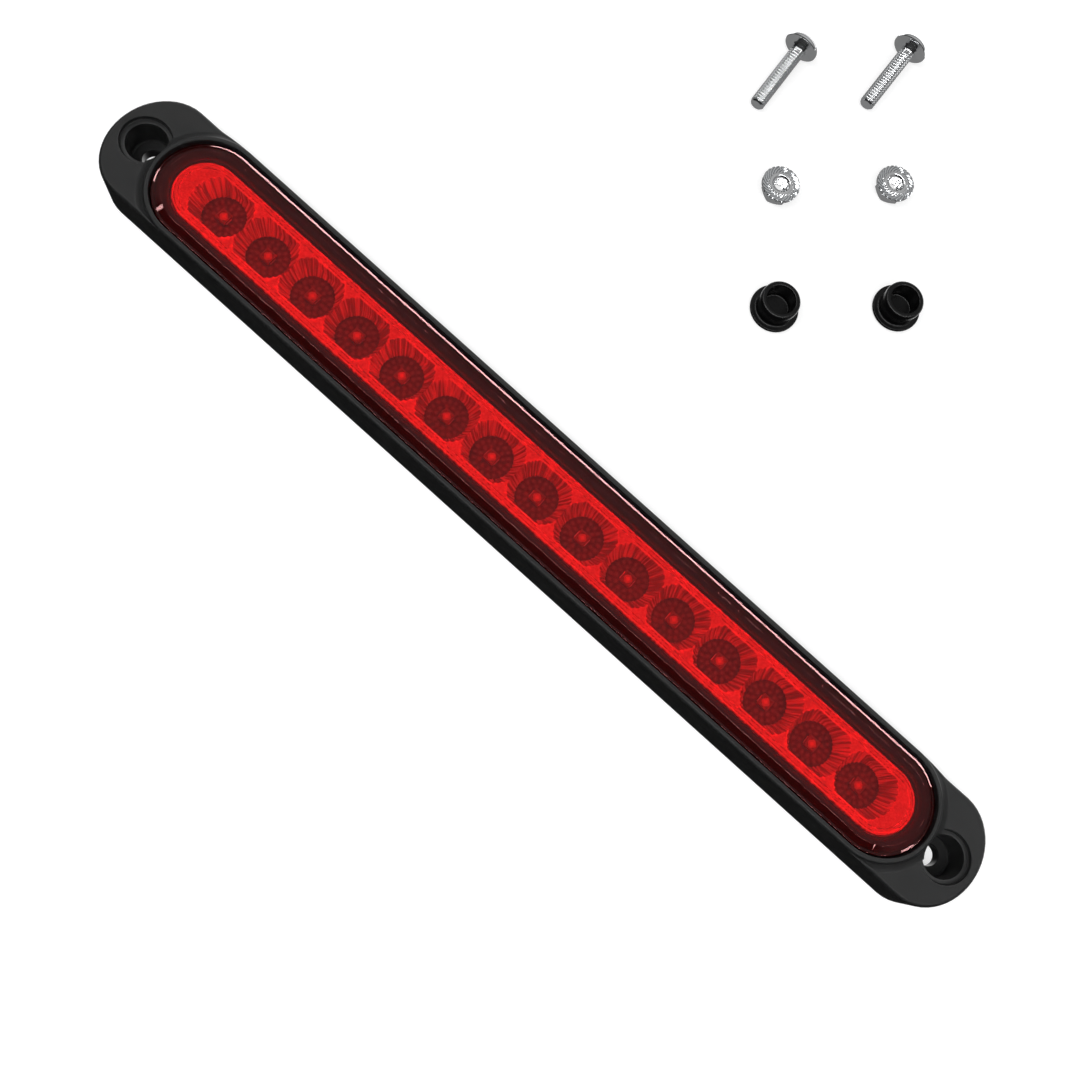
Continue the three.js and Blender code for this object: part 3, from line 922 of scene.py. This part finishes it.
def nut_mesh():
    """A hexagon flange nut, serrated flange up."""
    low, high = box_mm("flange_nut_1")
    height = high.z - low.z
    flange = (high.x - low.x) / 2
    land = height - 0.1                      # height of the flange's face between its grooves
    hexagon = 3.5
    bore, mouth, ring = 1.66, 2.3, 3.0
    per_tooth = 8
    sides = NUT_TEETH * per_tooth

    def twist(radius):
        """How far the slanted grooves have turned at this radius."""
        return 0.75 * (flange - radius) / (flange - ring)

    def tooth(angle, radius):
        """How deep a groove is: a flat land, then one steep and one gentle flank."""
        phase = ((angle - twist(radius)) * NUT_TEETH / (2 * math.pi)) % 1
        saw = max(0.0, min((phase - 0.4) / 0.12, (1 - phase) / 0.48))
        reach = min(1.0, max(0.0, (radius - ring - 0.15) / 0.5))
        return 0.6 * saw * reach

    def hexagon_radius(angle):
        turned_to = (angle + math.pi / 6) % (math.pi / 3) - math.pi / 6
        return hexagon / math.cos(turned_to)

    def row(radius_at, height_at, turn=0.0):
        points = []
        for k in range(sides):
            angle = 2 * math.pi * k / sides + turn
            radius = radius_at(angle)
            points.append((radius * math.cos(angle), radius * math.sin(angle), height_at(angle, radius)))
        return points

    def plain(radius, z, turn=0.0):
        return row(lambda angle: radius, lambda angle, r: z, turn)

    def nut_thread(angle, level):
        return bore + SCREW_RADIUS - thread_radius(-angle, level, SCREW_RADIUS, 0.34)

    def corner_cut(angle, r):
        return 0.45 * max(0.0, (r - hexagon) / (hexagon * 0.1547))

    rows = [plain(mouth, 0), plain(hexagon - 0.25, 0), row(hexagon_radius, corner_cut)]
    rows += [row(hexagon_radius, lambda angle, r: height - 2.2),
             row(lambda angle: max(hexagon_radius(angle), hexagon + 0.35),
                 lambda angle, r: height - 1.9),
             plain(flange - 0.5, height - 1.15), plain(flange - 0.05, height - 1.0)]
    for radius, drop in [(flange, 0.18), (flange - 0.12, 0.02)]:
        rows.append(row(lambda angle, radius=radius: radius,
                        lambda angle, r, drop=drop: land - drop - tooth(angle, r), twist(radius)))
    for k in range(1, 8):
        radius = flange - 0.12 + (ring + 0.1 - flange + 0.12) * k / 7
        rows.append(row(lambda angle, radius=radius: radius,
                        lambda angle, r: land - tooth(angle, r), twist(radius)))
    full = twist(ring)
    rows += [plain(ring, height - 0.02, full), plain(ring - 0.1, height, full),
             plain(mouth + 0.1, height, full), plain(mouth, height - 0.06, full),
             plain(SCREW_RADIUS, height - 0.4, full)]
    inner = []
    steps = 48
    for k in range(steps + 1):
        level = height - 0.45 - (height - 0.9) * k / steps
        inner.append(row(lambda angle, level=level: nut_thread(angle, level),
                         lambda angle, r, level=level: level, full * (1 - k / steps)))
    rows += inner
    return raw_mesh("nut", *grid(rows, wrap_rows=True))


def plug_profile(low, high):
    """A hollow rubber plug: stepped flange, waisted neck, rounded bead round the open end."""
    height = high.z - low.z
    flange = (high.x - low.x) / 2
    neck, bead, wall = 4.75, 5.1, 1.1
    inner = neck - wall
    return [
        (0, 0), *arc((flange - 0.75, 0.35), 0.35, -90, 0, 4),
        *arc((flange - 0.22, 0.72), 0.22, -90, 0, 3), *arc((flange - 0.25, 1.12), 0.25, 0, 90, 4),
        (neck + 0.75, 1.4), *arc((neck + 0.7, 2.1), 0.7, 270, 180, 5),
        (neck - 0.02, 3.1), (neck + 0.02, 3.7), (bead - 0.14, 4.2), (bead - 0.03, 4.6),
        *arc((bead - 0.85, height - 0.85), 0.85, 0, 90, 8),
        *arc((inner + 0.5, height - 0.5), 0.5, 90, 180, 5),
        (inner, 1.9), *arc((inner - 0.4, 1.7), 0.4, 0, -90, 3), (0, 1.3),
    ]


# ---- the object -------------------------------------------------------------------------------

def set_down(mesh, node):
    """Moves a loose piece's mesh to the place of its CAD node."""
    low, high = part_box(node)
    corners = [vertex.co for vertex in mesh.vertices]
    own_low = Vector([min(co[axis] for co in corners) for axis in range(3)])
    own_high = Vector([max(co[axis] for co in corners) for axis in range(3)])
    shift = (low + high) / 2 - (own_low + own_high) / 2
    shift.z = low.z - own_low.z
    mesh.transform(Matrix.Translation(shift))
    return mesh


def build_lamp():
    """Housing, lens, reflector and the row of LEDs, all on the lamp's body."""
    piece("housing_shell", housing(), [ABS], "lamp", ["housing"])
    piece("lens_cover", lens(), [LENS, lens_foot_painted_shade()], "lamp", ["lens"], angle=9)
    piece("reflector_row", reflector(), [MIRROR], "lamp", ["reflector"], angle=50)
    package = led_mesh()
    shade(package)
    for material in (led_body(), led_window(), led_chip(), tin_lead()):
        package.materials.append(material)
    for index in range(LED_COUNT):
        node = f"led_{index + 1:02d}"
        low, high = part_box(node)
        lamp = bpy.data.objects.new(f"led_package_{index + 1:02d}", package)
        bpy.context.scene.collection.objects.link(lamp)
        lamp.location = ((low.x + high.x) / 2, (low.y + high.y) / 2, low.z)
        bpy.context.view_layer.update()
        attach(lamp, "lamp")
        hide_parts(node)


def build_kit():
    """The loose screws, nuts and plugs, each on its own body; turn is where a screw's tip points."""
    turns = {"mounting_screw_1": -85, "mounting_screw_2": -86}
    for node, turn in turns.items():
        mesh = set_down(screw_mesh(turn), node)
        piece(f"{node}_threaded", mesh, [ZINC], node, [node], angle=35)
    for node in ("flange_nut_1", "flange_nut_2"):
        mesh = set_down(nut_mesh(), node)
        piece(f"{node}_serrated", mesh, [ZINC], node, [node], angle=25)
    for node in ("hole_plug_1", "hole_plug_2"):
        mesh = raw_mesh("plug", *turned(plug_profile(*box_mm(node)), 96))
        piece(f"{node}_moulded", set_down(mesh, node), [PLUG], node, [node], angle=50)


def finish_cad_nodes():
    """Materials and softened edges for the CAD nodes that stay."""
    finishes = {"rear_cover": ABS, "wire_grommet": SEAL, "lens_seal": SEAL, "circuit_board": BOARD,
                "polarity_diode": CHIP, "board_screw_1": ZINC, "board_screw_2": ZINC}
    finishes |= {f"resistor_{index + 1}": CHIP for index in range(LED_COUNT // 3)}
    for node, material in finishes.items():
        obj = bpy.data.objects[frame["nodes"][node].name]
        obj.data.materials.clear()
        obj.data.materials.append(material)
        bevel = obj.modifiers.new("soft_edges", "BEVEL")
        bevel.width = 0.12 * MM
        bevel.segments = 2
        bevel.limit_method = "ANGLE"


# ---- stage, light and camera ------------------------------------------------------------------

def floor():
    """A plain pale floor, seen from above only and left out of reflections."""
    size = 3.0
    drop = 0.0002                            # just under the pieces that stand on it
    mesh = bpy.data.meshes.new("floor")
    corners = [(-size, -size, -drop), (size, -size, -drop), (size, size, -drop), (-size, size, -drop)]
    mesh.from_pydata(corners, [], [(0, 1, 2, 3)])
    m = Material("floor_paper")
    paper = m.node("ShaderNodeBsdfDiffuse", {"Color": (0.5, 0.5, 0.5, 1)}).outputs["BSDF"]
    glow = m.node("ShaderNodeEmission", {"Color": (1, 1, 1, 1), "Strength": 0.62}).outputs["Emission"]
    lit = m.node("ShaderNodeAddShader")
    m.tree.links.new(paper, lit.inputs[0])
    m.tree.links.new(glow, lit.inputs[1])
    clear = m.node("ShaderNodeBsdfTransparent").outputs["BSDF"]
    mix = m.node("ShaderNodeMixShader")
    m.tree.links.new(m.node("ShaderNodeNewGeometry").outputs["Backfacing"], mix.inputs[0])
    m.tree.links.new(lit.outputs[0], mix.inputs[1])
    m.tree.links.new(clear, mix.inputs[2])
    mesh.materials.append(m.finish(mix.outputs[0]))
    obj = bpy.data.objects.new("floor", mesh)
    bpy.context.scene.collection.objects.link(obj)
    obj.visible_glossy = False
    obj.visible_diffuse = False


def kit_card():
    metal = ("mounting_screw_1", "mounting_screw_2", "flange_nut_1", "flange_nut_2")
    boxes = [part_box(node) for node in metal]
    margin = 4 * MM
    left = min(low.x for low, _ in boxes) - margin
    right = max(high.x for _, high in boxes) + margin
    front = min(low.y for low, _ in boxes) - margin
    back = max(high.y for _, high in boxes) + margin
    drop = 0.0003                            # just under the floor
    mesh = bpy.data.meshes.new("kit_card")
    corners = [(left, front, -drop), (right, front, -drop), (right, back, -drop), (left, back, -drop)]
    mesh.from_pydata(corners, [], [(0, 1, 2, 3)])
    m = Material("kit_card")
    mesh.materials.append(m.finish(m.node("ShaderNodeEmission", {
        "Color": (1, 1, 1, 1),
        "Strength": m.between(m.noise(20), 0.22, 0.26),
    }).outputs["Emission"]))
    obj = bpy.data.objects.new("kit_card", mesh)
    bpy.context.scene.collection.objects.link(obj)
    obj.visible_camera = False
    obj.visible_diffuse = False
    obj.visible_shadow = False


def direction(azimuth, elevation):
    """Unit vector; azimuth from +X towards +Y, elevation above the horizon, in degrees."""
    azimuth, elevation = math.radians(azimuth), math.radians(elevation)
    return Vector((math.cos(azimuth) * math.cos(elevation), math.sin(azimuth) * math.cos(elevation),
                   math.sin(elevation)))


def softbox(name, azimuth, elevation, distance, width, height, radiance, lights_diffuse=True):
    light = bpy.data.lights.new(name, "AREA")
    light.shape = "RECTANGLE"
    light.size = width
    light.size_y = height
    light.energy = radiance * math.pi * width * height
    obj = bpy.data.objects.new(name, light)
    bpy.context.scene.collection.objects.link(obj)
    toward = direction(azimuth, elevation)
    obj.location = toward * distance
    obj.rotation_mode = "QUATERNION"
    obj.rotation_quaternion = toward.to_track_quat("Z", "Y")
    obj.visible_camera = False
    obj.visible_diffuse = lights_diffuse
    return obj


def world():
    """Even sky; in reflections it is darker in front and low down, and bright low down behind."""
    scene_world = bpy.data.worlds.new("studio")
    bpy.context.scene.world = scene_world
    scene_world.use_nodes = True
    tree = scene_world.node_tree
    tree.nodes.clear()
    background = tree.nodes.new("ShaderNodeBackground")
    output = tree.nodes.new("ShaderNodeOutputWorld")
    tree.links.new(background.outputs[0], output.inputs[0])
    path = tree.nodes.new("ShaderNodeLightPath")
    coordinates = tree.nodes.new("ShaderNodeTexCoord")
    split = tree.nodes.new("ShaderNodeSeparateXYZ")
    tree.links.new(coordinates.outputs["Generated"], split.inputs[0])

    def mapped(value, source, target):
        made = tree.nodes.new("ShaderNodeMapRange")
        tree.links.new(value, made.inputs["Value"])
        for key, number in zip(("From Min", "From Max", "To Min", "To Max"), (*source, *target)):
            made.inputs[key].default_value = number
        return made.outputs["Result"]

    def mixed(factor, first, second):
        made = tree.nodes.new("ShaderNodeMix")
        tree.links.new(factor, made.inputs[0])
        for socket, value in zip(made.inputs[MIX_NUMBERS], (first, second)):
            if isinstance(value, float):
                socket.default_value = value
            else:
                tree.links.new(value, socket)
        return made.outputs[0]

    sky = mapped(split.outputs["Z"], (-0.05, 0.05), (0.45, 0.6))
    behind = mapped(split.outputs["Y"], (0.1, 0.5), (0.03, 2.4))
    above = mapped(split.outputs["Z"], (0.0, 0.95), (0.2, 0.62))
    front = tree.nodes.new("ShaderNodeMath")
    front.operation = "MULTIPLY"
    tree.links.new(above, front.inputs[0])
    tree.links.new(mapped(split.outputs["Y"], (-0.36, -0.18), (0.12, 1.0)), front.inputs[1])
    mirrored = mixed(mapped(split.outputs["Z"], (-0.05, 0.05), (0.0, 1.0)), behind, front.outputs[0])
    strength = mixed(path.outputs["Is Glossy Ray"], sky, mirrored)
    strength = mixed(path.outputs["Is Camera Ray"], strength, 1.0)
    tree.links.new(strength, background.inputs["Strength"])


def camera():
    """The lamp seen from above and a little in front, turned so that it runs across the picture."""
    azimuth, elevation, roll = -82.07, 75.6, math.radians(34.25)
    distance = 0.2721
    target = Vector((7.85, -5.21, 0)) * MM
    back = direction(azimuth, elevation)
    right = Vector((0, 0, 1)).cross(back).normalized()
    upright = back.cross(right)
    up = upright * math.cos(roll) - right * math.sin(roll)
    data = bpy.data.cameras.new("camera")
    data.lens = 38.455
    data.sensor_width = 36
    data.clip_start = 0.01
    data.clip_end = 20
    obj = bpy.data.objects.new("camera", data)
    bpy.context.scene.collection.objects.link(obj)
    axes = Matrix((up.cross(back), up, back)).transposed()
    obj.matrix_world = Matrix.Translation(target + back * distance) @ axes.to_4x4()
    bpy.context.scene.camera = obj


def lights():
    """A key in front, and narrow strips that draw the bright lines along the lens's edge."""
    softbox("key", -90, 70, 1.2, 1.6, 0.24, 8)
    softbox("left", 180, 42, 1.3, 0.9, 0.06, 16, lights_diffuse=False)
    softbox("right", 0, 48, 1.3, 0.9, 0.06, 16, lights_diffuse=False)
    back_edge = softbox("back_edge", 90, 51.5, 1.2, 2.0, 0.07, 26, lights_diffuse=False)
    lamp_only = bpy.data.collections.new("lit_by_back_edge")
    for name in ("lens_cover", "housing_shell"):
        lamp_only.objects.link(bpy.data.objects[name])
    back_edge.light_linking.receiver_collection = lamp_only


build_lamp()
build_kit()
finish_cad_nodes()
floor()
kit_card()
world()
lights()
camera()
bpy.context.scene.view_settings.view_transform = "Standard"
